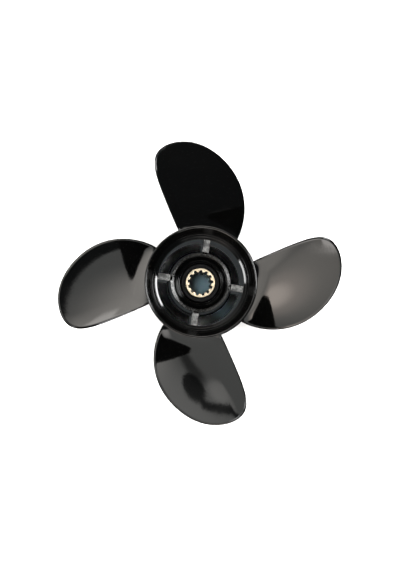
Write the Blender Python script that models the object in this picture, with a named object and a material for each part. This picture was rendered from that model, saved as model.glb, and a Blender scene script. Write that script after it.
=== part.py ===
"""Four-blade outboard propeller with a through-hub exhaust, at full size.

Metres, +Z runs aft along the shaft. The forward face of the barrel stands on z = 0,
and the flared exhaust ring is at the top. Angles grow from leading to trailing edge.
Neighbouring pieces keep a gap of 0.3 mm.
"""
from math import cos
from math import radians
from math import sin
from math import sqrt
from math import tan
from math import tau

import bmesh
import bpy
import numpy as np

GAP = 0.0003

# Barrel, the outer wall of the hub, and the flared exhaust ring at its aft end
HUB_LENGTH = 0.108
BARREL_RADIUS = 0.04445
BARREL_BORE = 0.0394
FRONT_CHAMFER = 0.001
FLARE_START = 0.079
FLARE_REACH = 0.012
RIM_RADIUS = 0.0510
RIM_ROUND = 0.0012
RIM_LEAN = 0.0028
RIM_REACH = 0.010
THROAT_RADIUS = 0.0436
THROAT_HEIGHT = 0.0945
THROAT_LEAN = 0.0022
THROAT_REACH = 0.0070
STEP_RADIUS = 0.0418
STEP_HEIGHT = 0.0905
STEP_SLOPE = 0.0010

# Inner hub, which holds the rubber bush
HUB_AFT = 0.0880
HUB_FRONT = 0.0080
HUB_DRAFT_START = 0.0450
HUB_AFT_RADIUS = 0.0274
HUB_ROOT_RADIUS = 0.0304
HUB_CHAMFER = 0.0015
HUB_AFT_CHAMFER = 0.0006
MOUTH_RADIUS = 0.0243
MOUTH_FOOT_RADIUS = 0.0225
MOUTH_FOOT_HEIGHT = 0.0790
BUSH_BORE = 0.0188
SHOULDER = 0.0700
SHOULDER_CHAMFER = 0.0016
FRONT_MOUTH_HEIGHT = 0.0140

# Ribs that carry the inner hub in the barrel
RIB_COUNT = 4
RIB_WIDTH = 0.0068
RIB_FRONT = 0.0120
RIB_FIRST_ANGLE = radians(-9.1)

# Blades. A fillet is given by its reach along the blade and its height up the barrel
BLADE_COUNT = 4
PITCH = 0.2794
PITCH_GAIN = 0.10
BLADE_HEIGHT = 0.0505
RAKE = tan(radians(13.5))
ROOT_THICKNESS = 0.0072
TIP_THICKNESS = 0.0022
EDGE_THICKNESS = 0.0020
TIP_RADIUS = 0.1319
CROWN_POWER = 2.4
CUP_HEIGHT = 0.0015
CUP_WIDTH = 0.22
AFT_FILLET = (0.0210, 0.0175)
FRONT_FILLET = (0.0120, 0.0100)
FILLET_AT_EDGES = 0.35
FILLET_FADE = 8
FILLET_DEPTH = 0.97

# Blade outline seen from aft, with the blade along +X: the angles where its two edges meet
# the barrel, and the points that pull a smooth curve out to the tip and back
LEADING_FOOT = radians(-42.6)
TRAILING_FOOT = radians(21.6)
PULL_POINTS = (
    (0.0435, -0.0390), (0.0716, -0.0476), (0.1099, -0.0338), (0.1373, 0.0057),
    (0.1230, 0.0507), (0.0800, 0.0342), (0.0505, 0.0213),
)
LEADING_END = 0.40
TRAILING_START = 0.70

# Rubber bush and splined sleeve
BUSH_FRONT = 0.0180
BUSH_AFT = 0.0760
BUSH_ROUND = 0.0015
SLEEVE_RADIUS = 0.0134
SLEEVE_FRONT = 0.0100
SLEEVE_AFT = 0.0820
SLEEVE_CHAMFER = 0.0006
SPLINE_COUNT = 13
SPLINE_ROOT = 0.0116
SPLINE_TIP = 0.0098
SPLINE_FIRST_ANGLE = radians(4.5)
GROOVE_HALF = 0.20
FLANK = 0.12

# Mesh fineness and shading
SHARP_ANGLE = radians(35.0)
BARREL_STEPS = 72
HUB_STEPS = 56
BUSH_STEPS = 48
BLADE_ROWS = 24
BLADE_COLUMNS = 12
ROW_CROWDING = 1.25


def clear_scene():
    for item in list(bpy.data.objects):
        bpy.data.objects.remove(item, do_unlink=True)


def material(name, colour, metallic, roughness):
    made = bpy.data.materials.new(name)
    made.use_nodes = True
    shader = made.node_tree.nodes["Principled BSDF"]
    shader.inputs["Base Color"].default_value = (*colour, 1.0)
    shader.inputs["Metallic"].default_value = metallic
    shader.inputs["Roughness"].default_value = roughness
    return made


def add_object(name, bm, surface):
    """Put a finished bmesh into the scene as one smooth-shaded object with its faces pointing out."""
    bmesh.ops.recalc_face_normals(bm, faces=bm.faces)
    mesh = bpy.data.meshes.new(name)
    bm.to_mesh(mesh)
    bm.free()
    mesh.materials.append(surface)
    mesh.shade_smooth()
    mesh.set_sharp_from_angle(angle=SHARP_ANGLE)
    thing = bpy.data.objects.new(name, mesh)
    bpy.context.collection.objects.link(thing)
    return thing


def arc(centre, radius, start, end, steps):
    """Points of a circular arc in the (radius, height) plane, angles in degrees."""
    angles = [radians(start + (end - start) * i / steps) for i in range(steps + 1)]
    return [(centre[0] + radius * cos(a), centre[1] + radius * sin(a)) for a in angles]


def bezier(a, b, c, d, steps):
    """Points of a cubic curve from a to d, pulled towards b and c."""
    a, b, c, d = (np.array(p) for p in (a, b, c, d))
    points = []
    for i in range(steps + 1):
        t = i / steps
        s = 1.0 - t
        points.append(tuple(a * s ** 3 + 3 * b * t * s * s + 3 * c * t * t * s + d * t ** 3))
    return points


def turned(name, profile, steps, surface):
    """Spin a closed profile of (radius, height) points round the shaft axis."""
    bm = bmesh.new()
    corners = [bm.verts.new((radius, 0.0, height)) for radius, height in profile]
    sides = [bm.edges.new(pair) for pair in zip(corners, corners[1:] + corners[:1])]
    bmesh.ops.spin(
        bm, geom=corners + sides, cent=(0, 0, 0), axis=(0, 0, 1),
        angle=tau, steps=steps, use_merge=True,
    )
    add_object(name, bm, surface)


def barrel_profile():
    """Straight tube from the forward face to where the flare starts."""
    return [
        (BARREL_RADIUS - FRONT_CHAMFER, 0.0),
        (BARREL_RADIUS, FRONT_CHAMFER),
        (BARREL_RADIUS, FLARE_START - GAP),
        (BARREL_BORE, FLARE_START - GAP),
        (BARREL_BORE, 0.0),
    ]


def ring_profile():
    """Outer flare up to the rim, over the rim's round and down the throat, ledge and bore."""
    rim_height = HUB_LENGTH - RIM_ROUND
    inside = RIM_RADIUS - 2 * RIM_ROUND
    flare = bezier(
        (BARREL_RADIUS, FLARE_START),
        (BARREL_RADIUS, FLARE_START + FLARE_REACH),
        (RIM_RADIUS - RIM_LEAN, rim_height - RIM_REACH),
        (RIM_RADIUS, rim_height),
        7,
    )
    rim = arc((RIM_RADIUS - RIM_ROUND, rim_height), RIM_ROUND, 0, 180, 4)[1:]
    throat = bezier(
        (inside, rim_height),
        (inside - THROAT_LEAN, rim_height - THROAT_REACH),
        (THROAT_RADIUS, THROAT_HEIGHT + THROAT_REACH),
        (THROAT_RADIUS, THROAT_HEIGHT),
        5,
    )[1:]
    ledge = [
        (STEP_RADIUS, STEP_HEIGHT),
        (BARREL_BORE, STEP_HEIGHT - STEP_SLOPE),
        (BARREL_BORE, FLARE_START),
    ]
    return flare + rim + throat + ledge


def inner_hub_profile():
    """Outer wall with its draft, aft end ring, stepped mouth and the bush bore."""
    return [
        (HUB_ROOT_RADIUS - HUB_CHAMFER, HUB_FRONT),
        (HUB_ROOT_RADIUS, HUB_FRONT + HUB_CHAMFER),
        (HUB_ROOT_RADIUS, HUB_DRAFT_START),
        (HUB_AFT_RADIUS, HUB_AFT - HUB_AFT_CHAMFER),
        (HUB_AFT_RADIUS - HUB_AFT_CHAMFER, HUB_AFT),
        (MOUTH_RADIUS, HUB_AFT),
        (MOUTH_FOOT_RADIUS, MOUTH_FOOT_HEIGHT),
        (BUSH_BORE + SHOULDER_CHAMFER, SHOULDER + SHOULDER_CHAMFER),
        (BUSH_BORE, SHOULDER),
        (BUSH_BORE, BUSH_FRONT - SHOULDER_CHAMFER),
        (MOUTH_FOOT_RADIUS, FRONT_MOUTH_HEIGHT),
        (MOUTH_RADIUS, HUB_FRONT),
    ]


def rib(index, paint):
    """Web between the inner hub and the barrel, whose inner end follows the hub's draft."""
    half = RIB_WIDTH / 2
    outer = sqrt((BARREL_BORE - GAP) ** 2 - half ** 2)
    side = [
        (HUB_ROOT_RADIUS + GAP, RIB_FRONT),
        (HUB_ROOT_RADIUS + GAP, HUB_DRAFT_START),
        (HUB_AFT_RADIUS + GAP, HUB_AFT),
        (outer, HUB_AFT),
        (outer, RIB_FRONT),
    ]
    bm = bmesh.new()
    face = bm.faces.new([bm.verts.new((radius, -half, height)) for radius, height in side])
    grown = bmesh.ops.extrude_face_region(bm, geom=[face])["geom"]
    for vert in (item for item in grown if isinstance(item, bmesh.types.BMVert)):
        vert.co.y = half
    thing = add_object(f"rib_{index + 1}", bm, paint)
    thing.rotation_euler.z = RIB_FIRST_ANGLE + index * tau / RIB_COUNT


def pull(knots, point, degree, t):
    """Share of one pull point in a B-spline curve at t."""
    if degree == 0:
        return float(knots[point] <= t < knots[point + 1])
    left = knots[point + degree] - knots[point]
    right = knots[point + degree + 1] - knots[point + 1]
    share = 0.0
    if left > 0:
        share += (t - knots[point]) / left * pull(knots, point, degree - 1, t)
    if right > 0:
        share += (knots[point + degree + 1] - t) / right * pull(knots, point + 1, degree - 1, t)
    return share


def on_barrel(angle):
    """Plan point just off the barrel's wall."""
    radius = BARREL_RADIUS + GAP
    return (radius * cos(angle), radius * sin(angle))


def outline(start, end, shares):
    """Plan points of the blade's outline at these shares of its length between two places."""
    points = np.array([on_barrel(LEADING_FOOT), *PULL_POINTS, on_barrel(TRAILING_FOOT)])
    knots = [0.0] * 3 + list(np.linspace(0.0, 1.0, len(points) - 2)) + [1.0] * 3
    places = np.linspace(start, min(end, 1.0 - 1e-9), 8 * len(shares))
    curve = np.array([sum(pull(knots, k, 3, t) * p for k, p in enumerate(points)) for t in places])
    lengths = np.linalg.norm(np.diff(curve, axis=0), axis=1)
    along = np.concatenate([[0.0], np.cumsum(lengths)])
    wanted = along[-1] * shares
    return np.stack([np.interp(wanted, along, curve[:, k]) for k in (0, 1)], axis=1)


def plan_grid():
    """Coons patch that fills the blade's plan outline, with its rows crowded towards the root."""
    rises = np.linspace(0.0, 1.0, BLADE_ROWS + 1) ** ROW_CROWDING
    leading = outline(0.0, LEADING_END, rises)
    tip = outline(LEADING_END, TRAILING_START, np.linspace(0.0, 1.0, BLADE_COLUMNS + 1))
    trailing = outline(TRAILING_START, 1.0, 1.0 - rises[::-1])[::-1]
    root = [np.array(on_barrel(a)) for a in np.linspace(LEADING_FOOT, TRAILING_FOOT, BLADE_COLUMNS + 1)]
    grid = np.zeros((BLADE_ROWS + 1, BLADE_COLUMNS + 1, 2))
    for i in range(BLADE_ROWS + 1):
        u = rises[i]
        for j in range(BLADE_COLUMNS + 1):
            v = j / BLADE_COLUMNS
            across = (1 - v) * leading[i] + v * trailing[i]
            along = (1 - u) * root[j] + u * tip[j]
            corners = ((1 - u) * (1 - v) * root[0] + (1 - u) * v * root[-1]
                       + u * (1 - v) * tip[0] + u * v * tip[-1])
            grid[i, j] = across + along - corners
    return grid


def face_height(radius, angle):
    """Height of the pressure face: a raked screw surface whose pitch grows towards its trailing edge."""
    turn = angle / tau
    return BLADE_HEIGHT + PITCH * turn * (1 + PITCH_GAIN * turn * tau) + (radius - BARREL_RADIUS) * RAKE


def fillet_rise(radius, fillet, share):
    """Height of a fillet above the plain blade at this share of its full size."""
    reach, height = fillet[0] * share, fillet[1] * share
    near = min(max((BARREL_RADIUS + reach - radius) / reach, 0.0), FILLET_DEPTH)
    return height * (1.0 - sqrt(1.0 - near * near))


def thickness(radius, across):
    """Thickness square to the face: thick at mid chord near the root, thin at the edges and tip."""
    span = min(max((radius - BARREL_RADIUS) / (TIP_RADIUS - BARREL_RADIUS), 0.0), 1.0)
    middle = ROOT_THICKNESS + (TIP_THICKNESS - ROOT_THICKNESS) * span
    crown = 1.0 - abs(2.0 * across - 1.0) ** CROWN_POWER
    return EDGE_THICKNESS + (middle - EDGE_THICKNESS) * crown


def blade_faces(x, y, across):
    """Aft and forward heights of the blade above one plan point."""
    radius = sqrt(x * x + y * y)
    angle = np.arctan2(y, x)
    slope = PITCH / (tau * radius)
    upright = sqrt(1.0 + slope * slope + RAKE * RAKE)
    cup = max(0.0, (across - 1.0 + CUP_WIDTH) / CUP_WIDTH)
    middle = 1.0 - abs(2.0 * across - 1.0) ** FILLET_FADE
    share = FILLET_AT_EDGES + (1.0 - FILLET_AT_EDGES) * middle
    aft = face_height(radius, angle) + CUP_HEIGHT * cup * cup
    front = aft - thickness(radius, across) * upright
    aft += fillet_rise(radius, AFT_FILLET, share)
    front -= fillet_rise(radius, FRONT_FILLET, share)
    return aft, front


def blade(index, paint):
    """One blade as a closed skin: two faces, an edge along the outline and a foot round the barrel."""
    grid = plan_grid()
    rows = BLADE_ROWS + 1
    columns = BLADE_COLUMNS + 1
    bm = bmesh.new()
    aft = {}
    front = {}
    for i in range(rows):
        for j in range(columns):
            x, y = grid[i, j]
            top, bottom = blade_faces(x, y, j / BLADE_COLUMNS)
            aft[i, j] = bm.verts.new((x, y, top))
            front[i, j] = bm.verts.new((x, y, bottom))
    for i in range(rows - 1):
        for j in range(columns - 1):
            around = ((i, j), (i + 1, j), (i + 1, j + 1), (i, j + 1))
            bm.faces.new([aft[k] for k in around])
            bm.faces.new([front[k] for k in reversed(around)])
    border = [(i, 0) for i in range(rows)]
    border += [(rows - 1, j) for j in range(1, columns)]
    border += [(i, columns - 1) for i in range(rows - 2, -1, -1)]
    border += [(0, j) for j in range(columns - 2, 0, -1)]
    for here, there in zip(border, border[1:] + border[:1]):
        bm.faces.new([aft[here], front[here], front[there], aft[there]])
    thing = add_object(f"blade_{index + 1}", bm, paint)
    thing.rotation_euler.z = index * tau / BLADE_COUNT


def rubber_bush_profile():
    """Plain tube with rounded ends that fills the space between the inner hub and the sleeve."""
    inner = SLEEVE_RADIUS + GAP
    outer = BUSH_BORE - GAP
    return [
        (outer - BUSH_ROUND, BUSH_FRONT),
        (outer, BUSH_FRONT + BUSH_ROUND),
        (outer, SHOULDER - BUSH_ROUND),
        (outer - BUSH_ROUND, BUSH_AFT),
        (inner + BUSH_ROUND, BUSH_AFT),
        (inner, BUSH_AFT - BUSH_ROUND),
        (inner, BUSH_FRONT + BUSH_ROUND),
        (inner + BUSH_ROUND, BUSH_FRONT),
    ]


def spline_points():
    """One turn of the sleeve's toothed bore: a groove and a tooth for each spline."""
    pitch = tau / SPLINE_COUNT
    groove = [(share, SPLINE_ROOT) for share in (-GROOVE_HALF, 0.0, GROOVE_HALF)]
    tooth_top = [(share, SPLINE_TIP) for share in (GROOVE_HALF + FLANK, 1.0 - GROOVE_HALF - FLANK)]
    points = []
    for tooth in range(SPLINE_COUNT):
        for share, radius in groove + tooth_top:
            points.append((SPLINE_FIRST_ANGLE + (tooth + share) * pitch, radius))
    return points


def splined_sleeve(brass):
    """Brass tube with a toothed bore that slides on the propeller shaft."""
    spline = spline_points()
    bm = bmesh.new()
    rings = []
    heights = (SLEEVE_FRONT, SLEEVE_FRONT + SLEEVE_CHAMFER, SLEEVE_AFT - SLEEVE_CHAMFER, SLEEVE_AFT)
    chamfers = (SLEEVE_CHAMFER, 0.0, 0.0, SLEEVE_CHAMFER)
    for height, chamfer in zip(heights, chamfers):
        outer = SLEEVE_RADIUS - chamfer
        rings.append([bm.verts.new((outer * cos(a), outer * sin(a), height)) for a, _ in spline])
    for height in (SLEEVE_AFT, SLEEVE_FRONT):
        rings.append([bm.verts.new((r * cos(a), r * sin(a), height)) for a, r in spline])
    count = len(spline)
    for low, high in zip(rings, rings[1:] + rings[:1]):
        for k in range(count):
            after = (k + 1) % count
            bm.faces.new([low[k], low[after], high[after], high[k]])
    add_object("spline_sleeve", bm, brass)


def main():
    clear_scene()
    paint = material("black_paint", (0.008, 0.008, 0.009), 0.0, 0.08)
    rubber = material("black_rubber", (0.012, 0.012, 0.012), 0.0, 0.6)
    brass = material("brass", (0.75, 0.58, 0.33), 1.0, 0.35)
    turned("hub_barrel", barrel_profile(), BARREL_STEPS, paint)
    turned("exhaust_ring", ring_profile(), BARREL_STEPS, paint)
    turned("inner_hub", inner_hub_profile(), HUB_STEPS, paint)
    for index in range(RIB_COUNT):
        rib(index, paint)
    for index in range(BLADE_COUNT):
        blade(index, paint)
    turned("rubber_bush", rubber_bush_profile(), BUSH_STEPS, rubber)
    splined_sleeve(brass)


main()
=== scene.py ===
# %% [markdown]
# # A glossy outboard propeller
#
# The object is a four-blade propeller of cast aluminium under gloss black paint. It stands with
# its forward end on the floor, and we look at its aft end from above. This lesson dresses the
# CAD model of it. Each new skin stands exactly where the CAD solid is, but it has the rounded
# edges, fillets and finishes of the real thing.
#
# We start by loading the CAD model.

# %% Load the CAD model
from math import acos, cos, pi, radians, sin, sqrt, tan, tau

import bpy
import numpy as np
from mathutils import Matrix, Vector


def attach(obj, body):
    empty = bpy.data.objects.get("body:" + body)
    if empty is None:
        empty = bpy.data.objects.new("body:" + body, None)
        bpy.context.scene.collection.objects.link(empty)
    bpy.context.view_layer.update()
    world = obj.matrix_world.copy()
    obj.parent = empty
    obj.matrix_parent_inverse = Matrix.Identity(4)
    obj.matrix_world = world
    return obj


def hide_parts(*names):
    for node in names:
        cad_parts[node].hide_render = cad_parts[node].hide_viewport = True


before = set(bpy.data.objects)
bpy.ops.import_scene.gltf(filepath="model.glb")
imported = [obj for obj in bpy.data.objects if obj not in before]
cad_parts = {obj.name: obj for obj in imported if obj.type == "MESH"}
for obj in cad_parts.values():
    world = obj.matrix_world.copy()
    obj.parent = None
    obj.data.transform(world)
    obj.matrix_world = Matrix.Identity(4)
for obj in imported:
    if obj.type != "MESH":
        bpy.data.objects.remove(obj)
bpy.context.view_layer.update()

print("CAD nodes:", ", ".join(sorted(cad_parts)))

# %% [markdown]
# ## The camera
#
# The photograph looks almost straight down the shaft from about a metre and a half. From the way
# the near rim and the deeper rings shift against each other we know that the camera stands a
# little to the left and below the shaft. A camera that looks straight down has no natural up
# direction, so we build its rotation by hand from three axes, with +Y as the top of the picture.

# %% Camera
CAMERA_PLACE = Vector((-0.0367, -0.0410, 1.607))
CAMERA_TARGET = Vector((-0.00096, -0.00265, 0.108))

camera = bpy.data.objects.new("camera", bpy.data.cameras.new("camera"))
camera.data.lens = 105.2
camera.data.sensor_width = 36.0
backward = (CAMERA_PLACE - CAMERA_TARGET).normalized()
right = Vector((0.0, 1.0, 0.0)).cross(backward).normalized()
upward = backward.cross(right)
turned_axes = Matrix((right, upward, backward)).transposed().to_4x4()
camera.matrix_world = Matrix.Translation(CAMERA_PLACE) @ turned_axes
bpy.context.scene.collection.objects.link(camera)
bpy.context.scene.camera = camera
bpy.context.scene.view_settings.view_transform = "Standard"
print("camera is", round((CAMERA_PLACE - CAMERA_TARGET).length, 3), "m from the exhaust ring")

# %% [markdown]
# ## Small helpers for materials
#
# Gloss black shows hardly any colour of its own. What we see on it is the light around it, bent
# by its shape and softened by its surface. So every material here is a short chain of nodes:
# noise that varies the colour and the roughness a little, and a bump that makes the surface
# slightly uneven. These helpers keep such chains readable.

# %% Node helpers
def new_material(name):
    """A material with its node tree and its Principled shader."""
    made = bpy.data.materials.new(name)
    made.use_nodes = True
    return made, made.node_tree, made.node_tree.nodes["Principled BSDF"]


def add_node(tree, kind, **settings):
    """A node whose properties and input values are given by name."""
    node = tree.nodes.new("ShaderNode" + kind)
    for key, value in settings.items():
        if hasattr(node, key):
            setattr(node, key, value)
        else:
            node.inputs[key.replace("_", " ").title()].default_value = value
    return node


def noise(tree, scale, detail=3.0, roughness=0.5):
    """Noise in metres of the object's own space."""
    place = add_node(tree, "TexCoord")
    made = add_node(tree, "TexNoise", scale=scale, detail=detail, roughness=roughness)
    tree.links.new(place.outputs["Object"], made.inputs["Vector"])
    return made.outputs["Fac"]


def remap(tree, value, low, high, new_low, new_high):
    """Stretches a value from one range to another and holds it there."""
    made = add_node(tree, "MapRange")
    made.inputs["From Min"].default_value = low
    made.inputs["From Max"].default_value = high
    made.inputs["To Min"].default_value = new_low
    made.inputs["To Max"].default_value = new_high
    tree.links.new(value, made.inputs["Value"])
    return made.outputs["Result"]


def reckon(tree, operation, first, second):
    """One sum of two values, each a socket or a number."""
    made = add_node(tree, "Math", operation=operation)
    for socket, value in zip(made.inputs, (first, second)):
        if isinstance(value, (int, float)):
            socket.default_value = value
        else:
            tree.links.new(value, socket)
    return made.outputs["Value"]


def blend(tree, share, first, second):
    """Mixes two colours by a share from 0 to 1."""
    made = add_node(tree, "Mix", data_type="RGBA")
    tree.links.new(share, made.inputs["Factor"])
    for socket, colour in (("A", first), ("B", second)):
        spot = [i for i in made.inputs if i.name == socket and i.type == "RGBA"][0]
        if isinstance(colour, tuple):
            spot.default_value = (*colour, 1.0)
        else:
            tree.links.new(colour, spot)
    return [o for o in made.outputs if o.type == "RGBA"][0]


def add_bump(tree, height, strength, distance, under=None):
    """A bump from a height, on top of another bump if one is given."""
    made = add_node(tree, "Bump")
    made.inputs["Strength"].default_value = strength
    made.inputs["Distance"].default_value = distance
    tree.links.new(height, made.inputs["Height"])
    if under is not None:
        tree.links.new(under, made.inputs["Normal"])
    return made.outputs["Normal"]


# %% [markdown]
# ## Gloss black paint
#
# The paint is sprayed on a rough casting, so it is glossy but not flat: up close it has a fine
# orange peel, and over a few centimetres it is slightly wavy. We use two bumps for these two
# scales, and let the roughness drift a little, because sprayed paint is never equally sharp.

# %% Gloss black paint
def gloss_paint():
    paint, tree, shader = new_material("gloss_black_paint")
    drift = noise(tree, 28.0, detail=4.0)
    shade = blend(tree, drift, (0.0004, 0.0004, 0.0004), (0.0009, 0.0009, 0.0009))
    tree.links.new(shade, shader.inputs["Base Color"])
    rough = remap(tree, noise(tree, 60.0, detail=5.0), 0.3, 0.7, 0.03, 0.08)
    tree.links.new(rough, shader.inputs["Roughness"])
    waves = add_bump(tree, noise(tree, 70.0, detail=1.0), 0.06, 0.0003)
    peel = add_bump(tree, noise(tree, 520.0, detail=2.0), 0.12, 0.0001, under=waves)
    tree.links.new(peel, shader.inputs["Normal"])
    return paint


def shaded_paint():
    """The same black with painted shade: it mirrors much less, so the recessed throat stays dark."""
    shaded_copy, tree, shader = new_material("shaded_black_paint")
    mist = noise(tree, 45.0, detail=5.0)
    shade = blend(tree, mist, (0.0003, 0.0003, 0.0003), (0.0012, 0.0012, 0.0012))
    tree.links.new(shade, shader.inputs["Base Color"])
    rough = remap(tree, mist, 0.3, 0.7, 0.16, 0.30)
    tree.links.new(rough, shader.inputs["Roughness"])
    # Painted shade: the low mirror strength darkens the throat's reflections.
    shader.inputs["Specular IOR Level"].default_value = 0.16
    shader.inputs["IOR"].default_value = 1.3
    tree.links.new(add_bump(tree, noise(tree, 700.0), 0.1, 0.0001), shader.inputs["Normal"])
    return shaded_copy


paint = gloss_paint()
shaded_throat_paint = shaded_paint()
print("paint nodes:", len(paint.node_tree.nodes))

# %% [markdown]
# ## Rough cast ends
#
# The ends of the four ribs kept the coarse skin of the sand mould under a thin coat. They look
# dull and speckled grey where the rest is glossy. The end ring of the inner hub has the same
# coarse skin, but more paint covers it, so it is dark and only its grains catch the light.

# %% Rough cast ends
def rough_casting():
    cast, tree, shader = new_material("rough_cast_ends")
    grain = noise(tree, 900.0, detail=6.0, roughness=0.7)
    speck = remap(tree, grain, 0.42, 0.60, 0.0, 1.0)
    bare = remap(tree, noise(tree, 190.0, detail=2.0), 0.40, 0.52, 0.15, 1.0)
    worn = reckon(tree, "MULTIPLY", speck, bare)
    shade = blend(tree, worn, (0.002, 0.002, 0.002), (0.115, 0.115, 0.11))
    tree.links.new(shade, shader.inputs["Base Color"])
    rough = remap(tree, noise(tree, 700.0), 0.3, 0.7, 0.35, 0.60)
    tree.links.new(rough, shader.inputs["Roughness"])
    pits = add_bump(tree, grain, 0.8, 0.0003)
    tree.links.new(pits, shader.inputs["Normal"])
    return cast


def painted_grain():
    grainy, tree, shader = new_material("paint_over_grain")
    grain = noise(tree, 1100.0, detail=5.0, roughness=0.6)
    shade = blend(tree, grain, (0.0006, 0.0006, 0.0006), (0.004, 0.0038, 0.0033))
    tree.links.new(shade, shader.inputs["Base Color"])
    rough = remap(tree, noise(tree, 500.0), 0.3, 0.7, 0.16, 0.34)
    tree.links.new(rough, shader.inputs["Roughness"])
    tree.links.new(add_bump(tree, grain, 0.5, 0.0002), shader.inputs["Normal"])
    return grainy


cast_ends = rough_casting()
grainy_paint = painted_grain()
print("cast end nodes:", len(cast_ends.node_tree.nodes))

# %% [markdown]
# ## Rubber and brass
#
# The bush is moulded rubber: black, dull and slightly mottled. The sleeve is brass that was
# turned on a lathe, so its face carries fine circles. A wave of the distance from the shaft
# gives those circles, with a little noise so that they aren't perfect.

# %% Rubber
def black_rubber():
    rubber, tree, shader = new_material("black_rubber")
    mottle = noise(tree, 350.0, detail=5.0)
    shade = blend(tree, mottle, (0.0015, 0.0015, 0.0015), (0.004, 0.004, 0.004))
    tree.links.new(shade, shader.inputs["Base Color"])
    rough = remap(tree, mottle, 0.3, 0.7, 0.45, 0.70)
    tree.links.new(rough, shader.inputs["Roughness"])
    shader.inputs["Specular IOR Level"].default_value = 0.12
    skin = add_bump(tree, noise(tree, 1800.0, detail=3.0), 0.35, 0.0001)
    tree.links.new(skin, shader.inputs["Normal"])
    return rubber


rubber = black_rubber()


# %% Turned brass
def from_shaft(tree):
    """Distance of a surface point from the shaft axis, in metres."""
    place = add_node(tree, "TexCoord")
    flat = add_node(tree, "VectorMath", operation="MULTIPLY")
    flat.inputs[1].default_value = (1.0, 1.0, 0.0)
    length = add_node(tree, "VectorMath", operation="LENGTH")
    tree.links.new(place.outputs["Object"], flat.inputs[0])
    tree.links.new(flat.outputs["Vector"], length.inputs[0])
    return length.outputs["Value"]


def tool_circles(tree, per_metre):
    """A height that rises and falls with the distance from the shaft, as a lathe tool leaves it."""
    scaled = add_node(tree, "Math", operation="MULTIPLY")
    scaled.inputs[1].default_value = per_metre * tau
    wave = add_node(tree, "Math", operation="SINE")
    tree.links.new(from_shaft(tree), scaled.inputs[0])
    tree.links.new(scaled.outputs["Value"], wave.inputs[0])
    return wave.outputs["Value"]


def turned_brass():
    brass, tree, shader = new_material("turned_brass")
    shader.inputs["Metallic"].default_value = 1.0
    dull = noise(tree, 220.0, detail=6.0, roughness=0.65)
    stain = remap(tree, dull, 0.35, 0.7, 0.0, 1.0)
    shade = blend(tree, stain, (0.72, 0.63, 0.47), (0.52, 0.42, 0.28))
    tree.links.new(shade, shader.inputs["Base Color"])
    rough = remap(tree, dull, 0.3, 0.7, 0.34, 0.52)
    tree.links.new(rough, shader.inputs["Roughness"])
    circles = add_bump(tree, tool_circles(tree, 2600.0), 0.25, 0.00003)
    skin = add_bump(tree, noise(tree, 1400.0), 0.2, 0.0001, under=circles)
    tree.links.new(skin, shader.inputs["Normal"])
    return brass


def greased_shaded_bore():
    """The toothed bore, broached and greased; its dark bluish colour is painted shade, so it is much darker than the
    turned face.
    """
    bore, tree, shader = new_material("greased_shaded_bore")
    shader.inputs["Metallic"].default_value = 1.0
    film_and_shade = noise(tree, 160.0, detail=5.0)
    # Painted shade: the dark bluish colour stands for the shade deep inside the sleeve.
    shade = blend(tree, film_and_shade, (0.020, 0.027, 0.030), (0.085, 0.095, 0.095))
    tree.links.new(shade, shader.inputs["Base Color"])
    rough = remap(tree, film_and_shade, 0.3, 0.7, 0.22, 0.42)
    tree.links.new(rough, shader.inputs["Roughness"])
    tree.links.new(add_bump(tree, noise(tree, 900.0), 0.2, 0.0001), shader.inputs["Normal"])
    return bore


brass = turned_brass()
shaded_bore = greased_shaded_bore()
print("brass nodes:", len(brass.node_tree.nodes))

# %% [markdown]
# ## From points to a piece
#
# All skins here are made from lists of points, because their shapes follow exact curves. One
# function turns points and faces into an object, gives it its finish, and fastens it to the CAD
# model: the piece rides on the body, and the CAD solids that it stands for are hidden.

# %% Make a piece
def add_piece(name, points, faces, finishes, nodes, face_finish=None, even=True):
    """A smooth mesh that stands for some CAD nodes. Even shading keeps flat faces flat."""
    mesh = bpy.data.meshes.new(name)
    mesh.from_pydata([tuple(map(float, p)) for p in points], [], faces)
    mesh.validate()
    for finish in finishes:
        mesh.materials.append(finish)
    if face_finish is not None:
        mesh.polygons.foreach_set("material_index", face_finish)
    mesh.shade_smooth()
    piece = bpy.data.objects.new(name, mesh)
    bpy.context.scene.collection.objects.link(piece)
    if even:
        keep = piece.modifiers.new("even_shading", "WEIGHTED_NORMAL")
        keep.mode = "FACE_AREA"
        keep.keep_sharp = True
    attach(piece, "root")
    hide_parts(*nodes)
    print(f"{name}: {len(mesh.vertices)} points, {len(mesh.polygons)} faces")
    return piece


# %% [markdown]
# ## Turned shapes
#
# The barrel, the inner hub and the bush are round about the shaft. Each is drawn as a half
# section, a line of (radius, height) points, and that line is swung round the shaft. No edge of
# a real casting is razor sharp, so a helper rounds each corner of the section first. A corner
# is written as (radius, height, rounding).

# %% Section helpers
ROUND_STEPS = 6


def rounded(corners, closed=True):
    """Section points in which each corner with a rounding is replaced by an arc."""
    points = []
    count = len(corners)
    for k, (radius, height, size) in enumerate(corners):
        here = np.array((radius, height))
        if size == 0 or (not closed and k in (0, count - 1)):
            points.append(here)
            continue
        last = np.array(corners[k - 1][:2]) - here
        following = np.array(corners[(k + 1) % count][:2]) - here
        room = 0.48 * min(np.linalg.norm(last), np.linalg.norm(following))
        last = last / np.linalg.norm(last)
        following = following / np.linalg.norm(following)
        half = acos(np.clip(last @ following, -1.0, 1.0)) / 2
        back = min(size / tan(half), room)
        centre = here + (last + following) / np.linalg.norm(last + following) * back / cos(half)
        start, end = here + last * back - centre, here + following * back - centre
        sweep = pi - 2 * half
        for i in range(ROUND_STEPS + 1):
            t = i / ROUND_STEPS
            points.append(centre + (sin((1 - t) * sweep) * start + sin(t * sweep) * end) / sin(sweep))
    return np.array(points)


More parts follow.
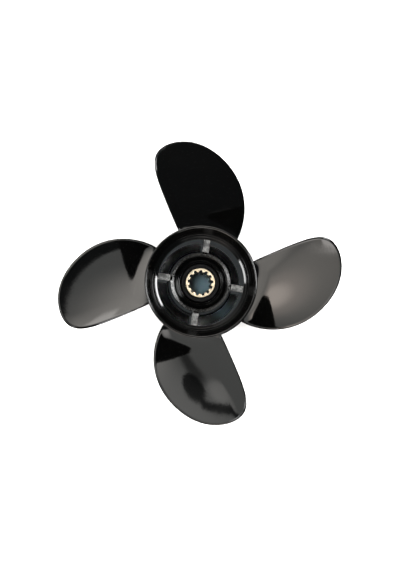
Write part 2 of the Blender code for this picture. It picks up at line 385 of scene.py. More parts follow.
def curve_through(a, b, c, d, steps):
    """Section points of a cubic curve from a to d that is pulled towards b and c."""
    a, b, c, d = (np.array(p) for p in (a, b, c, d))
    t = np.linspace(0.0, 1.0, steps + 1)[:, None]
    return a * (1 - t) ** 3 + 3 * b * t * (1 - t) ** 2 + 3 * c * t * t * (1 - t) + d * t ** 3


def swing(section, steps, closed=True, first_angle=0.0):
    """Points and faces of a section that is swung once round the shaft."""
    angles = first_angle + np.arange(steps) * tau / steps
    count = len(section)
    points = np.empty((steps, count, 3))
    points[:, :, 0] = np.cos(angles)[:, None] * section[:, 0]
    points[:, :, 1] = np.sin(angles)[:, None] * section[:, 0]
    points[:, :, 2] = section[:, 1]
    faces = []
    for i in range(steps):
        here, after = i * count, (i + 1) % steps * count
        for k in range(count if closed else count - 1):
            n = (k + 1) % count
            faces.append((here + k, after + k, after + n, here + n))
    return points.reshape(-1, 3), faces


# %% [markdown]
# ## Barrel and exhaust ring
#
# The barrel is the outer wall of the hub. Exhaust gas leaves through it, and at its aft end it
# flares out into a ring with a rounded rim, which keeps the gas away from the blades. Inside
# the rim the wall narrows again in a smooth throat, where the lathe left two faint lines, and
# ends in two small steps. The lower step slopes a little, so it catches the lamps. The barrel
# and the ring are one casting, so one section draws both.

# %% Barrel and exhaust ring
HUB_LENGTH = 0.108
BARREL_RADIUS = 0.04445
BARREL_BORE = 0.0394
RIM_RADIUS = 0.0510
RIM_ROUND = 0.0012
THROAT_RADIUS = 0.0439
TOOL_LINES = (0.1030, 0.0985)
BARREL_STEPS = 224


def barrel_section():
    """Outside from the forward end to the rim, over the rim, and back down the inside."""
    rim_height = HUB_LENGTH - RIM_ROUND
    inside = RIM_RADIUS - 2 * RIM_ROUND
    outside = rounded([
        (BARREL_BORE, 0.020, 0.0), (BARREL_BORE, 0.0, 0.0008),
        (BARREL_RADIUS, 0.0, 0.0012), (BARREL_RADIUS, 0.020, 0.0),
    ], closed=False)
    flare = curve_through(
        (BARREL_RADIUS, 0.079), (BARREL_RADIUS, 0.091),
        (RIM_RADIUS - 0.0028, rim_height - 0.010), (RIM_RADIUS, rim_height), 28,
    )
    turn = np.radians(np.linspace(0, 180, 17))[1:]
    rim = np.stack([
        RIM_RADIUS - RIM_ROUND + RIM_ROUND * np.cos(turn),
        rim_height + RIM_ROUND * np.sin(turn),
    ], axis=1)
    throat = curve_through(
        (inside, rim_height), (inside - 0.0010, rim_height - 0.0040),
        (THROAT_RADIUS + 0.0012, 0.0975), (THROAT_RADIUS, 0.0935), 48,
    )[1:-1]
    for height in TOOL_LINES:
        throat[:, 0] -= 0.00010 * np.exp(-((throat[:, 1] - height) / 0.0003) ** 2)
    steps = rounded([
        (THROAT_RADIUS - 0.0001, 0.0934, 0.0), (THROAT_RADIUS - 0.0002, 0.0924, 0.0003),
        (0.0417, 0.0924, 0.0004), (0.0415, 0.09045, 0.0003),
        (BARREL_BORE, 0.08990, 0.0005), (BARREL_BORE, 0.070, 0.0),
    ], closed=False)
    return np.concatenate([outside, flare, rim, throat, steps])


section = barrel_section()
# The throat faces take the shaded paint, a painted shade that keeps the recess dark.
in_throat = (section[:, 0] > THROAT_RADIUS - 0.0001) & (section[:, 0] < RIM_RADIUS - 2.1 * RIM_ROUND)
in_throat &= (section[:, 1] > 0.0926) & (np.arange(len(section)) > 50)
points, faces = swing(section, BARREL_STEPS)
add_piece("barrel_and_ring", points, faces, [paint, shaded_throat_paint], ["hub_barrel", "exhaust_ring"],
          face_finish=np.tile(in_throat.astype(int), BARREL_STEPS))

# %% [markdown]
# ## Inner hub and ribs
#
# The inner hub is a thick tube in the middle of the barrel, and four ribs carry it. The spaces
# between the ribs are the exhaust passages. Where a rib meets a wall, the casting has a fillet,
# so the wall of each passage is one smooth line in the shape of a U. We draw that line at
# several heights and join the copies. The same line, moved into the metal by the size of the
# edge rounding, bounds the flat end face.

# %% The wall line of a passage
RIB_FIRST_ANGLE = radians(-9.1)
RIB_HALF = 0.0033
FILLET_STEPS = 7


def arc_points(centre, start, end, steps):
    """Points of an arc about a centre between two points, the short way round."""
    a = np.arctan2(*(start - centre)[::-1])
    b = np.arctan2(*(end - centre)[::-1])
    b = a + (b - a + pi) % tau - pi
    radius = np.linalg.norm(start - centre)
    angles = np.linspace(a, b, steps + 1)
    return centre + radius * np.stack([np.cos(angles), np.sin(angles)], axis=1)


def half_wall(hub, half, bore, fillet):
    """Wall line from the barrel in along a rib at angle 0 and round onto the inner hub."""
    outer = np.array((sqrt((bore - fillet) ** 2 - (half + fillet) ** 2), half + fillet))
    inner = np.array((sqrt((hub + fillet) ** 2 - (half + fillet) ** 2), half + fillet))
    on_bore = outer * bore / np.linalg.norm(outer)
    on_hub = inner * hub / np.linalg.norm(inner)
    line_out, line_in = np.array((outer[0], half)), np.array((inner[0], half))
    side = line_out + (line_in - line_out) * np.linspace(0, 1, 7)[1:-1, None]
    return np.concatenate([
        [on_bore * (bore + 0.0004) / bore],
        arc_points(outer, on_bore, line_out, FILLET_STEPS), side,
        arc_points(inner, line_in, on_hub, FILLET_STEPS),
    ])


def turned_by(points, angle):
    """Plan points turned about the shaft."""
    c, s = cos(angle), sin(angle)
    return points @ np.array(((c, s), (-s, c)))


def passage_wall(index, hub, half, bore=BARREL_BORE, fillet=0.0010):
    """The U-shaped wall line between two neighbouring ribs."""
    first = half_wall(hub, half, bore, fillet)
    second = turned_by(first * (1.0, -1.0), pi / 2)[::-1]
    a, b = np.arctan2(first[-1, 1], first[-1, 0]), np.arctan2(second[0, 1], second[0, 0])
    angles = np.linspace(a, b, 25)[1:-1]
    hub_arc = hub * np.stack([np.cos(angles), np.sin(angles)], axis=1)
    whole = np.concatenate([first, hub_arc, second])
    return turned_by(whole, RIB_FIRST_ANGLE + index * pi / 2)


print("points on one wall line:", len(passage_wall(0, 0.0274, RIB_HALF)))

# %% [markdown]
# The rows of the walls run from the forward end to the aft end. The hub's outer wall has a
# draft, so it is thinner aft, where the pattern was pulled from the sand.

# %% Inner hub and ribs
HUB_AFT = 0.0880
RIB_FRONT = 0.0120
EDGE_ROUND = 0.0004
MOUTH_RADIUS = 0.0243
MOUTH_STEPS = 152
MOUTH_DROP = 0.0007


def wall_rows():
    """(height, hub radius, rib half width, offset into the metal) of each row."""
    rows = []
    for angle in np.linspace(0, pi / 2, 6):
        shift = EDGE_ROUND * (1 - sin(angle))
        rows.append((RIB_FRONT + EDGE_ROUND * (1 - cos(angle)), 0.0304, 0.0036, shift))
    rows += [(0.030, 0.0304, 0.0036, 0.0), (0.0440, 0.0304, 0.0035, 0.0)]
    rows += [(0.0446, 0.03033, 0.0035, 0.0), (0.0451, 0.03010, 0.0035, 0.0)]
    rows += [(0.0455, 0.02960, 0.0035, 0.0), (0.0465, 0.02945, 0.0035, 0.0)]
    rows += [(0.060, 0.02890, 0.0034, 0.0), (0.075, 0.02810, 0.0034, 0.0)]
    for angle in np.linspace(0, pi / 2, 6):
        shift = EDGE_ROUND * (1 - cos(angle))
        rows.append((HUB_AFT - EDGE_ROUND * (1 - sin(angle)), 0.0274, RIB_HALF, shift))
    return rows


def hub_section():
    """Inside of the hub from the aft edge of its mouth to the forward end and up the outside."""
    return rounded([
        (MOUTH_RADIUS + 0.0006, HUB_AFT - MOUTH_DROP, 0.0), (MOUTH_RADIUS, HUB_AFT - MOUTH_DROP, 0.0006),
        (0.0225, 0.0790, 0.0008), (0.0211, 0.0738, 0.0008), (0.0197, 0.0738, 0.0005),
        (0.0196, 0.0752, 0.0003), (0.0188, 0.0752, 0.0004), (0.0188, 0.0164, 0.0006), (0.0225, 0.0140, 0.0008), (MOUTH_RADIUS, 0.0080, 0.0006),
        (0.0304, 0.0080, 0.0015), (0.0304, 0.030, 0.0),
    ], closed=False)


def hub_and_ribs():
    rows = wall_rows()
    lines = [
        [passage_wall(i, hub - shift, half - shift, BARREL_BORE + shift, 0.0010 + shift)
         for _, hub, half, shift in rows] for i in range(4)
    ]
    size = len(lines[0][0])
    points, faces, rough = [], [], []
    for i in range(4):
        for line, row in zip(lines[i], rows):
            points += [(x, y, row[0]) for x, y in line]
    at = lambda i, row, k: (i * len(rows) + row) * size + k
    for i in range(4):
        for row in range(len(rows) - 1):
            for k in range(size - 1):
                faces.append((at(i, row, k), at(i, row + 1, k), at(i, row + 1, k + 1), at(i, row, k + 1)))
                rough.append(0)
    mouth, mouth_faces = swing(hub_section(), MOUTH_STEPS, closed=False, first_angle=RIB_FIRST_ANGLE)
    base, count = len(points), len(hub_section())
    points += [tuple(p) for p in mouth]
    faces += [tuple(base + v for v in reversed(f)) for f in mouth_faces]
    rough += [0] * len(mouth_faces)
    top = len(rows) - 1
    quarter = MOUTH_STEPS // 4
    root = FILLET_STEPS + 7
    for i in range(4):
        last = (i - 1) % 4
        rim = [base + (i * quarter + k) % MOUTH_STEPS * count for k in range(quarter + 1)]
        ring_edge = [at(i, top, k) for k in range(root, size - root)]
        faces += [(rim[k], ring_edge[k], ring_edge[k + 1], rim[k + 1])[::-1] for k in range(quarter)]
        faces.append((rim[0], ring_edge[0], at(last, top, size - 1 - root)))
        rough += [2] * (quarter + 1)
        for row in (0, top):
            one = [at(last, row, k) for k in range(size - 1 - root, size)]
            other = [at(i, row, k) for k in range(0, root + 1)]
            faces.append(tuple(one + other))
            rough.append(1)
    return points, faces, rough


points, faces, rough = hub_and_ribs()
add_piece("hub_and_ribs", points, faces, [paint, cast_ends, grainy_paint],
          ["inner_hub", "rib_1", "rib_2", "rib_3", "rib_4"], face_finish=rough)

# %% [markdown]
# ## The outline of a blade
#
# Seen from aft, a blade is bounded by one smooth curve. It leaves the barrel at the leading
# edge, sweeps out and round to the tip, turns a tight corner and comes back along the trailing
# edge. Seven pull points shape it as a B-spline, the same as in the CAD model. We take it as
# several thousand short steps, so that any later question about it is a simple look-up.

# %% Blade outline
PULL_POINTS = (
    (0.0435, -0.0390), (0.0716, -0.0476), (0.1099, -0.0338), (0.1373, 0.0057),
    (0.1230, 0.0507), (0.0800, 0.0342), (0.0505, 0.0213),
)
LEADING_FOOT = radians(-42.6)
TRAILING_FOOT = radians(21.6)
FOOT_RADIUS = BARREL_RADIUS + 0.0003


def pull_share(knots, k, degree, t):
    """How strongly pull point k draws the curve at each place t."""
    if degree == 0:
        return ((knots[k] <= t) & (t < knots[k + 1])).astype(float)
    share = np.zeros_like(t)
    if knots[k + degree] > knots[k]:
        share += (t - knots[k]) / (knots[k + degree] - knots[k]) * pull_share(knots, k, degree - 1, t)
    if knots[k + degree + 1] > knots[k + 1]:
        rest = (knots[k + degree + 1] - t) / (knots[k + degree + 1] - knots[k + 1])
        share += rest * pull_share(knots, k + 1, degree - 1, t)
    return share


def outline_curve(count=6000):
    """The outline from the leading foot to the trailing foot, with both ends run on into the barrel."""
    feet = [(FOOT_RADIUS * cos(a), FOOT_RADIUS * sin(a)) for a in (LEADING_FOOT, TRAILING_FOOT)]
    pulls = np.array([feet[0], *PULL_POINTS, feet[1]])
    knots = [0.0] * 3 + list(np.linspace(0, 1, len(pulls) - 2)) + [1.0] * 3
    t = np.linspace(0.0, 1.0 - 1e-9, count)
    curve = sum(pull_share(knots, k, 3, t)[:, None] * p for k, p in enumerate(pulls))
    lead = curve[0] + (curve[0] - curve[20]) / np.linalg.norm(curve[0] - curve[20]) * 0.004
    trail = curve[-1] + (curve[-1] - curve[-20]) / np.linalg.norm(curve[-1] - curve[-20]) * 0.004
    start = np.linspace(lead, curve[0], 60)[:-1]
    end = np.linspace(curve[-1], trail, 60)[1:]
    return np.concatenate([start, curve, end])


def evenly(curve, count):
    """The same curve at even steps of its own length."""
    along = np.concatenate([[0], np.cumsum(np.linalg.norm(np.diff(curve, axis=0), axis=1))])
    places = np.linspace(0, along[-1], count)
    return np.stack([np.interp(places, along, curve[:, k]) for k in (0, 1)], axis=1)


edge = evenly(outline_curve(), 8000)
run = np.gradient(edge, axis=0)
run /= np.linalg.norm(run, axis=1)[:, None]
inward = np.stack([-run[:, 1], run[:, 0]], axis=1)
edge_radius = np.linalg.norm(edge, axis=1)
edge_angle = np.arctan2(edge[:, 1], edge[:, 0])
tip = int(np.argmax(edge_radius))
print("tip radius", round(1000 * edge_radius[tip], 2), "mm at", round(np.degrees(edge_angle[tip]), 1), "degrees")

# %% [markdown]
# ## The two faces of a blade
#
# The face that looks aft is a screw surface: its height grows with the angle round the shaft,
# as on a thread, and also leans aft with the radius, which is called rake. The forward face
# lies one thickness below it. The thickness is greatest at mid chord near the root and thins
# out towards the edges and the tip. Round fillets lead both faces into the barrel, and a small
# lip called a cup bends the trailing edge aft.

# %% Blade heights
PITCH = 0.2794
PITCH_GAIN = 0.10
BLADE_HEIGHT = 0.0505
RAKE = tan(radians(13.5))
ROOT_THICKNESS = 0.0072
EDGE_THICKNESS = 0.0020
CUP_HEIGHT = 0.0015
CUP_WIDTH = 0.22
AFT_FILLET = (0.0210, 0.0175)
FORWARD_FILLET = (0.0120, 0.0100)


def across(radius, angle):
    """0 at the leading edge, 1 at the trailing edge, on a circle round the shaft."""
    radius = np.minimum(radius, edge_radius[tip] - 1e-7)
    leading = np.interp(radius, edge_radius[:tip], edge_angle[:tip])
    trailing = np.interp(radius, edge_radius[:tip:-1], edge_angle[:tip:-1])
    return np.clip((angle - leading) / (trailing - leading), 0.0, 1.0)


def smooth_step(value, low, high):
    t = np.clip((value - low) / (high - low), 0.0, 1.0)
    return t * t * (3 - 2 * t)


def fillet_rise(radius, fillet, share):
    """How far a fillet of this reach and height lifts the face, all of its height at the barrel."""
    reach, height = fillet[0] * share, fillet[1] * share
    near = np.clip((BARREL_RADIUS + reach - radius) / reach, 0.0, 1.0)
    return height * (1 - np.sqrt(1 - near * near))


def blade_heights(x, y):
    """Heights of the aft and the forward face above plan points."""
    radius, angle = np.hypot(x, y), np.arctan2(y, x)
    turn = angle / tau
    place = across(radius, angle)
    aft = BLADE_HEIGHT + PITCH * turn * (1 + PITCH_GAIN * angle) + (radius - BARREL_RADIUS) * RAKE
    cup = np.maximum(0.0, (place - 1 + CUP_WIDTH) / CUP_WIDTH)
    aft = aft + CUP_HEIGHT * cup ** 2 * (1 - smooth_step(radius, 0.116, 0.130))
    span = np.clip((radius - BARREL_RADIUS) / (edge_radius[tip] - BARREL_RADIUS), 0.0, 1.0)
    crown = 1 - np.abs(2 * place - 1) ** 2.4
    thick = EDGE_THICKNESS + (ROOT_THICKNESS - EDGE_THICKNESS) * (1 - span) * crown
    upright = np.sqrt(1 + (PITCH / (tau * radius)) ** 2 + RAKE ** 2)
    share = 0.35 + 0.65 * (1 - np.abs(2 * place - 1) ** 8)
    forward = aft - thick * upright - fillet_rise(radius, FORWARD_FILLET, share)
    return aft + fillet_rise(radius, AFT_FILLET, share), forward


print("faces at mid span in mm:", [round(1000 * float(h), 1) for h in blade_heights(0.09, 0.0)])

# %% [markdown]
# ## A blade's mesh
#
# The grid of a blade has rows that run from the leading edge to the trailing edge. Close to the
# barrel they are arcs round the shaft and lie close together, because the fillet bends fast
# there. Further out they lean, and they all end at the corner between tip and trailing edge.
# The grid stops a little inside the outline. The last two millimetres are a separate band that
# runs along the edge and rounds it over, from the aft face round to the forward face. The aft
# face rolls over most of the way, as grinding from above leaves it.

# %% Rows of the blade grid
EDGE_BAND = 0.0024
AFT_ROLL = 0.82
BAND_STEPS = 9
ROOT_ROWS = np.array([
    -0.35, 0.0, 0.01, 0.03, 0.06, 0.10, 0.16, 0.25, 0.37, 0.52, 0.72, 1.0, 1.35, 1.75, 2.2,
    2.8, 3.5, 4.3, 5.2, 6.2, 7.3, 8.5, 9.8, 11.2, 12.7, 14.2, 15.7, 17.2, 18.7, 20.2, 21.6,
]) * 0.001
OUTER_ROWS = 96
COLUMNS = 70

inner_edge = edge + EDGE_BAND * inward
inner_radius = np.linalg.norm(inner_edge, axis=1)
corner = int(np.argmax(inner_edge @ np.array((cos(radians(50.0)), sin(radians(50.0))))))
print("rows meet at", np.round(1000 * inner_edge[corner], 1), "mm")


def row_ends():
    """Place along the outline where each row starts on the leading and ends on the trailing side."""
    leading, trailing = [], []
    top = int(np.argmax(inner_radius))
    for radius in BARREL_RADIUS + ROOT_ROWS:
        leading.append(np.interp(radius, inner_radius[:top], np.arange(top)))
        behind = np.arange(len(edge) - 1, top, -1)
        trailing.append(np.interp(radius, inner_radius[behind], behind))
    share = np.linspace(0, 1, OUTER_ROWS + 1)[1:]
    leading += list(leading[-1] + (corner - leading[-1]) * share)
    trailing += list(trailing[-1] + (corner - trailing[-1]) * share)
    return np.array(leading), np.array(trailing)


def at_place(values, places):
    """Values along the outline at places between its steps."""
    steps = np.arange(len(values))
    return np.stack([np.interp(places, steps, values[:, k]) for k in (0, 1)], axis=1)


# %% Blade mesh
def blade_skin():
    """Points and faces of the blade that lies along +X."""
    leading, trailing = row_ends()
    start, end = at_place(inner_edge, leading), at_place(inner_edge, trailing)
    share = np.linspace(0, 1, COLUMNS + 1)[None, :]
    radius = [np.linalg.norm(p, axis=1)[:, None] for p in (start, end)]
    angle = [np.arctan2(p[:, 1], p[:, 0])[:, None] for p in (start, end)]
    radius = radius[0] + (radius[1] - radius[0]) * share
    angle = angle[0] + (angle[1] - angle[0]) * share
    x, y = radius * np.cos(angle), radius * np.sin(angle)
    aft, forward = blade_heights(x, y)
    aft[0] += 0.003
    forward[0] -= 0.003

    round_places = np.concatenate([leading, trailing[-2::-1]])
    base = at_place(inner_edge, round_places)
    out = at_place(-inward, round_places)
    out /= np.linalg.norm(out, axis=1)[:, None]
    turn = np.linspace(0, pi / 2, BAND_STEPS + 1)[1:]
    band_x = base[:, :1] + out[:, :1] * EDGE_BAND * np.sin(turn)
    band_y = base[:, 1:] + out[:, 1:] * EDGE_BAND * np.sin(turn)
    band_aft, band_forward = blade_heights(band_x, band_y)
    depth = band_aft - band_forward
    meeting = band_aft - AFT_ROLL * depth
    high = meeting + AFT_ROLL * depth * np.cos(turn)
    low = meeting - (1 - AFT_ROLL) * depth * np.cos(turn)

    rows, columns = x.shape
    around = len(round_places)
    points = [np.stack([x, y, aft], axis=2).reshape(-1, 3), np.stack([x, y, forward], axis=2).reshape(-1, 3),
              np.stack([band_x, band_y, high], axis=2).reshape(-1, 3),
              np.stack([band_x[:, :-1], band_y[:, :-1], low[:, :-1]], axis=2).reshape(-1, 3)]
    starts = np.cumsum([0] + [len(p) for p in points])
    faces = []

    def grid(side, i, j):
        if i == rows - 1:
            j = 0
        return int(starts[side] + i * columns + j)

    def rim(i):
        return (i, 0) if i < rows else (2 * rows - 2 - i, columns - 1)

    def band(side, i, k):
        """Band point k of place i; 0 is the grid's own border and the last one is shared."""
        if k == 0:
            return grid(side, *rim(i))
        if side == 0 or k == BAND_STEPS:
            return int(starts[2] + i * BAND_STEPS + k - 1)
        return int(starts[3] + i * (BAND_STEPS - 1) + k - 1)

    for i in range(rows - 1):
        for j in range(columns - 1):
            quad = [(i, j), (i + 1, j), (i + 1, j + 1), (i, j + 1)]
            if i == rows - 2:
                quad = [(i, j), (i + 1, 0), (i, j + 1)]
            faces.append([grid(0, *q) for q in quad])
            faces.append([grid(1, *q) for q in quad[::-1]])
    for i in range(around - 1):
        for k in range(BAND_STEPS):
            quad = [(i, k), (i, k + 1), (i + 1, k + 1), (i + 1, k)]
            faces.append([band(0, *q) for q in quad])
            faces.append([band(1, *q) for q in quad[::-1]])
    return np.concatenate(points), faces


blade_points, blade_faces = blade_skin()
for index in range(4):
    angle = index * pi / 2
    c, s = round(cos(angle)), round(sin(angle))
    moved = blade_points @ np.array(((c, s, 0), (-s, c, 0), (0, 0, 1)))
    add_piece(f"blade_{index + 1}_skin", moved, blade_faces, [paint], [f"blade_{index + 1}"],
              even=False)

# %% [markdown]
# ## Rubber bush
#
# The bush is pressed into the inner hub and lets the hub slip if a blade strikes something. Its
# aft face was moulded with a shallow groove, and its lips are round.

# %% Rubber bush
BUSH_AFT = 0.0760
BUSH_FRONT = 0.0180
SLEEVE_RADIUS = 0.0134


def bush_section():
    """Half section of the bush, with the moulded groove in its aft face."""
    inner, outer = SLEEVE_RADIUS, 0.0186
    return rounded([
        (outer, BUSH_FRONT, 0.0015), (outer, 0.0700, 0.0008), (0.0170, BUSH_AFT, 0.0008),
        (0.0160, BUSH_AFT, 0.0003), (0.0156, BUSH_AFT - 0.0005, 0.0002),
        (0.0150, BUSH_AFT - 0.0005, 0.0002), (0.0146, BUSH_AFT, 0.0003),
        (inner + 0.0004, BUSH_AFT, 0.0004), (inner, BUSH_AFT - 0.001, 0.0002),
        (inner, BUSH_FRONT, 0.0015),
    ])


points, faces = swing(bush_section(), 128)
add_piece("moulded_bush", points, [f[::-1] for f in faces], [rubber], ["rubber_bush"])

# %% [markdown]
# ## Splined sleeve
#
# The brass sleeve slides on the propeller shaft, and thirteen grooves in its bore drive it. A
# groove has a rounded square section. We describe one turn of the bore as radius against angle,
# ease the sides of each groove with a smooth step, and break the edges at both ends.

# %% Splined sleeve
SPLINE_COUNT = 13
SPLINE_FIRST = radians(4.5)
SPLINE_ROOT = 0.0116
SPLINE_TIP = 0.0098
PER_SPLINE = 24


def bore_line(shrink=0.0):
    """Radius and angle of the toothed bore, made wider by a chamfer."""
    share = np.arange(SPLINE_COUNT * PER_SPLINE) / PER_SPLINE
    apart = np.abs((share + 0.5) % 1.0 - 0.5)
    tooth = smooth_step(apart, 0.20, 0.32)
    radius = SPLINE_ROOT + (SPLINE_TIP - SPLINE_ROOT) * tooth + shrink
    return radius, SPLINE_FIRST + share * tau / SPLINE_COUNT


def sleeve():
    chamfer = 0.0006
    rows = []
    for turn in np.linspace(0, pi / 2, 5):
        rows.append(("outer", SLEEVE_RADIUS - chamfer * (1 - sin(turn)), 0.010 + chamfer * (1 - cos(turn))))
    for turn in np.linspace(0, pi / 2, 5):
        rows.append(("outer", SLEEVE_RADIUS - chamfer * (1 - cos(turn)), 0.082 - chamfer * (1 - sin(turn))))
    for turn in np.linspace(0, pi / 2, 5):
        rows.append(("bore", 0.0004 * (1 - sin(turn)), 0.082 - 0.0004 * (1 - cos(turn))))
    for turn in np.linspace(pi / 2, 0, 5):
        rows.append(("bore", 0.0004 * (1 - sin(turn)), 0.010 + 0.0004 * (1 - cos(turn))))
    points = []
    for kind, size, height in rows:
        radius, angle = bore_line(size if kind == "bore" else 0.0)
        if kind == "outer":
            radius = np.full_like(angle, size)
        points.append(np.stack([radius * np.cos(angle), radius * np.sin(angle), np.full_like(angle, height)], axis=1))
    count = SPLINE_COUNT * PER_SPLINE
    faces = []
    for row in range(len(rows)):
        after = (row + 1) % len(rows)
        for k in range(count):
            n = (k + 1) % count
            faces.append((row * count + k, row * count + n, after * count + n, after * count + k))
    return np.concatenate(points), faces


points, faces = sleeve()
# The bore faces take the shaded bore finish, whose colour is painted shade.
in_bore = [int(11 * PER_SPLINE * SPLINE_COUNT <= k < 19 * PER_SPLINE * SPLINE_COUNT) for k in range(len(faces))]
add_piece("brass_sleeve", points, faces, [brass, shaded_bore], ["spline_sleeve"], face_finish=in_bore)

# %% [markdown]
# ## Floor and light
#
# The floor is a plain pale sheet that runs far past the picture. The light is a soft tent:
# bright walls to the left, in front and behind, and nothing on the right and overhead. Gloss
# black only shows what it mirrors, so the bright walls become the grey on three of the blades,
# and the open side leaves the top blade black. We write the tent into the world's own shader as
# a brightness that depends on direction, built up from a few soft patches of sky.

# %% Floor
def pale_floor():
    floor_mesh = bpy.data.meshes.new("floor")
    reach = 12.0
    floor_mesh.from_pydata([(-reach, -reach, 0), (reach, -reach, 0), (reach, reach, 0), (-reach, reach, 0)], [], [(0, 1, 2, 3)])
    floor = bpy.data.objects.new("floor", floor_mesh)
    bpy.context.scene.collection.objects.link(floor)
    sheet, tree, shader = new_material("pale_floor")
    shade = blend(tree, noise(tree, 3.0), (0.86, 0.86, 0.86), (0.90, 0.90, 0.90))
    tree.links.new(shade, shader.inputs["Base Color"])
    shader.inputs["Roughness"].default_value = 0.9
    shader.inputs["Specular IOR Level"].default_value = 0.1
    floor_mesh.materials.append(sheet)
    floor.visible_glossy = False
    floor.location.z = -0.0002
    return floor


floor = pale_floor()

# %% Light tent helpers
def aim(azimuth, elevation):
    """Unit vector towards a place in the sky, in degrees."""
    a, e = radians(azimuth), radians(elevation)
    return (cos(a) * cos(e), sin(a) * cos(e), sin(e))


def soft_remap(tree, value, low, high, new_low, new_high):
    """A remap that starts and ends gently."""
    result = remap(tree, value, low, high, new_low, new_high)
    result.node.interpolation_type = "SMOOTHSTEP"
    return result


def leaning(tree, way, vector):
    """How far a direction leans towards a vector, from -1 to 1."""
    made = add_node(tree, "VectorMath", operation="DOT_PRODUCT")
    made.inputs[1].default_value = vector
    tree.links.new(way, made.inputs[0])
    return made.outputs["Value"]


def round_patch(tree, way, azimuth, elevation, inner, outer):
    """1 inside a round patch of sky and 0 outside it, with a soft border between two radii."""
    near = leaning(tree, way, aim(azimuth, elevation))
    return soft_remap(tree, near, cos(radians(outer)), cos(radians(inner)), 0.0, 1.0)


def strip_patch(tree, way, start, end, half_width, blur):
    """1 along the straight strip of sky between two places, and 0 outside it."""
    one, two = Vector(aim(*start)), Vector(aim(*end))
    across_it = one.cross(two).normalized()
    middle = (one + two).normalized()
    reach = one.angle(two) / 2
    aside = reckon(tree, "ABSOLUTE", leaning(tree, way, across_it), 0.0)
    narrow = soft_remap(tree, aside, sin(radians(half_width)), sin(radians(half_width + blur)), 1.0, 0.0)
    along = leaning(tree, way, middle)
    ends = soft_remap(tree, along, cos(reach + radians(blur)), cos(reach), 0.0, 1.0)
    return reckon(tree, "MULTIPLY", narrow, ends)


# %% [markdown]
# Now the tent itself. A long wall of cloth stands in front, on the left and at the back, and a
# round reflector closes its back corner. Soft glows lie on the cloth where lamps shine through
# it: the warm ones are near bare bulbs. Two narrow gaps let brighter light in. A dark stand with
# an arm shows in front of the left wall. Each patch has a place in the sky, an inner radius where
# it is full, an outer radius where it ends, and a colour that is added there.

# %% Light tent
WALL_COLOUR = (1.14, 1.15, 1.11)
WALL_MIDDLE, WALL_REACH = 200.0, 97.5
REFLECTOR = (74.0, 4.3, 38.0, 39.6)
GLOWS = (
    (99.5, 7.5, 2.0, 47.5, (2.7, 2.5, 2.3)),
    (132.5, 52.5, 6.0, 28.0, (1.15, 1.12, 1.08)),
    (164.0, 38.3, 1.3, 5.9, (1.3, 1.25, 1.2)),
    (154.0, 2.0, 6.0, 20.0, (2.0, 1.9, 1.85)),
    (242.0, 26.0, 2.0, 19.5, (1.6, 1.3, 1.15)),
    (241.5, 25.7, 1.0, 11.7, (2.5, 2.2, 1.95)),
    (249.0, 31.0, 6.0, 29.5, (1.5, 1.35, 1.2)),
    (279.7, 3.0, 12.2, 24.0, (1.75, 1.6, 1.45)),
)
BRIGHT_STRIPS = (
    ((92.6, 18.5), (91.1, 25.2), 0.5, 3.5, (3.3, 3.2, 3.1)),
    ((260.3, 48.7), (274.8, 32.8), 1.6, 2.6, (4.3, 4.1, 4.0)),
)
DARK_STRIPS = (
    ((147.1, 23.8), (154.8, 33.0), 1.4, 5.1, 0.75),
    ((150.3, 33.0), (149.8, 41.5), 5.0, 1.6, 0.95),
    ((152.0, 42.5), (171.0, 44.0), 1.0, 0.9, 0.94),
)


def tent_mask(tree, way):
    """1 where there is cloth, less where a dark shape stands before it, and 0 elsewhere."""
    level = add_node(tree, "VectorMath", operation="MULTIPLY")
    level.inputs[1].default_value = (1.0, 1.0, 0.0)
    tree.links.new(way, level.inputs[0])
    heading = add_node(tree, "VectorMath", operation="NORMALIZE")
    tree.links.new(level.outputs["Vector"], heading.inputs[0])
    towards = leaning(tree, heading.outputs["Vector"], aim(WALL_MIDDLE, 0.0))
    ends = (cos(radians(WALL_REACH + 1.5)), cos(radians(WALL_REACH - 1.5)))
    mask = soft_remap(tree, towards, *ends, 0.0, 1.0)
    mask = reckon(tree, "MAXIMUM", mask, round_patch(tree, way, *REFLECTOR))
    for *shape, depth in DARK_STRIPS:
        shade = reckon(tree, "MULTIPLY", strip_patch(tree, way, *shape), -depth)
        mask = reckon(tree, "MULTIPLY", mask, reckon(tree, "ADD", shade, 1.0))
    height = leaning(tree, way, (0.0, 0.0, 1.0))
    for low, high, at_low, at_high in ((0.78, 0.90, 1.0, 0.0), (-0.20, -0.06, 0.0, 1.0)):
        mask = reckon(tree, "MULTIPLY", mask, soft_remap(tree, height, low, high, at_low, at_high))
    return mask


def add_light(tree, total, patch, colour):
    """Adds a patch in one colour to the light so far."""
    made = add_node(tree, "VectorMath", operation="MULTIPLY_ADD")
    tree.links.new(patch, made.inputs[0])
    made.inputs[1].default_value = colour
    if isinstance(total, tuple):
        made.inputs[2].default_value = total
    else:
        tree.links.new(total, made.inputs[2])
    return made.outputs["Vector"]


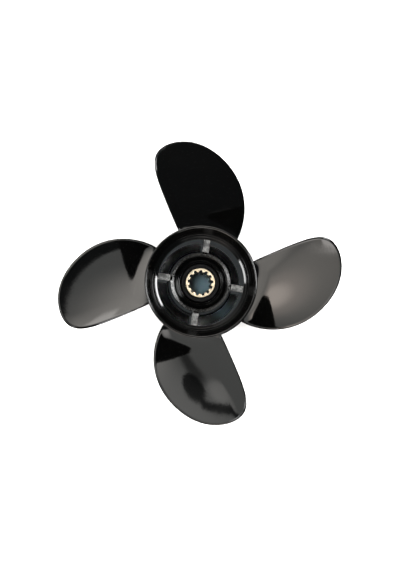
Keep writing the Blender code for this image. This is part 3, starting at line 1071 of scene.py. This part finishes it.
def light_tent():
    world = bpy.data.worlds.new("light_tent")
    bpy.context.scene.world = world
    world.use_nodes = True
    tree = world.node_tree
    tree.nodes.clear()
    way = add_node(tree, "TexCoord").outputs["Generated"]
    light = WALL_COLOUR
    for *shape, colour in GLOWS:
        light = add_light(tree, light, round_patch(tree, way, *shape), colour)
    for *shape, colour in BRIGHT_STRIPS:
        light = add_light(tree, light, strip_patch(tree, way, *shape), colour)
    masked = add_node(tree, "VectorMath", operation="MULTIPLY_ADD")
    tree.links.new(light, masked.inputs[0])
    tree.links.new(tent_mask(tree, way), masked.inputs[1])
    masked.inputs[2].default_value = (0.045, 0.05, 0.052)
    tent = add_node(tree, "Background")
    tree.links.new(masked.outputs["Vector"], tent.inputs["Color"])
    backdrop = add_node(tree, "Background")
    backdrop.inputs["Color"].default_value = (0.93, 0.93, 0.93, 1.0)
    seen = add_node(tree, "LightPath")
    mix = add_node(tree, "MixShader")
    tree.links.new(seen.outputs["Is Camera Ray"], mix.inputs["Fac"])
    tree.links.new(tent.outputs["Background"], mix.inputs[1])
    tree.links.new(backdrop.outputs["Background"], mix.inputs[2])
    out = add_node(tree, "OutputWorld")
    tree.links.new(mix.outputs["Shader"], out.inputs["Surface"])
    print("tent nodes:", len(tree.nodes))


light_tent()


# %% Lamps
def soft_lamp(name, azimuth, elevation, distance, size, watts, mirrored=True):
    """A square soft lamp that points at the propeller."""
    lamp = bpy.data.lights.new(name, "AREA")
    lamp.size = size
    lamp.energy = watts
    thing = bpy.data.objects.new(name, lamp)
    place = Vector(aim(azimuth, elevation)) * distance
    thing.location = place + Vector((0, 0, 0.08))
    thing.rotation_mode = "QUATERNION"
    thing.rotation_quaternion = (-place).to_track_quat("-Z", "Y")
    thing.visible_glossy = mirrored
    thing.visible_camera = False
    bpy.context.scene.collection.objects.link(thing)
    return thing


def narrow_beam(name, target, azimuth, elevation, distance, watts):
    """A thin bluish beam that falls through an opening onto the floor below it."""
    lamp = bpy.data.lights.new(name, "SPOT")
    lamp.energy = watts
    lamp.color = (0.55, 0.88, 1.0)
    lamp.spot_size = radians(1.0)
    lamp.spot_blend = 1.0
    lamp.shadow_soft_size = 0.004
    thing = bpy.data.objects.new(name, lamp)
    back = Vector(aim(azimuth, elevation))
    thing.location = Vector(target) + back * distance
    thing.rotation_mode = "QUATERNION"
    thing.rotation_quaternion = (-back).to_track_quat("-Z", "Y")
    thing.visible_glossy = False
    bpy.context.scene.collection.objects.link(thing)


soft_lamp("key_lamp", 14.0, 63.0, 1.5, 0.45, 16.0)
soft_lamp("left_lamp", 192.0, 62.0, 1.5, 0.35, 6.0)
for number, azimuth in enumerate((20.0, 110.0, 200.0, 290.0)):
    soft_lamp(f"floor_lamp_{number + 1}", azimuth, 52.0, 2.2, 1.4, 42.0, mirrored=False)
narrow_beam("bore_beam", (0.006, 0.0, 0.0), 226.0, 88.2, 1.3, 12.0)
narrow_beam("passage_beam", (0.022, -0.0235, 0.0), 226.0, 88.2, 1.3, 4.0)
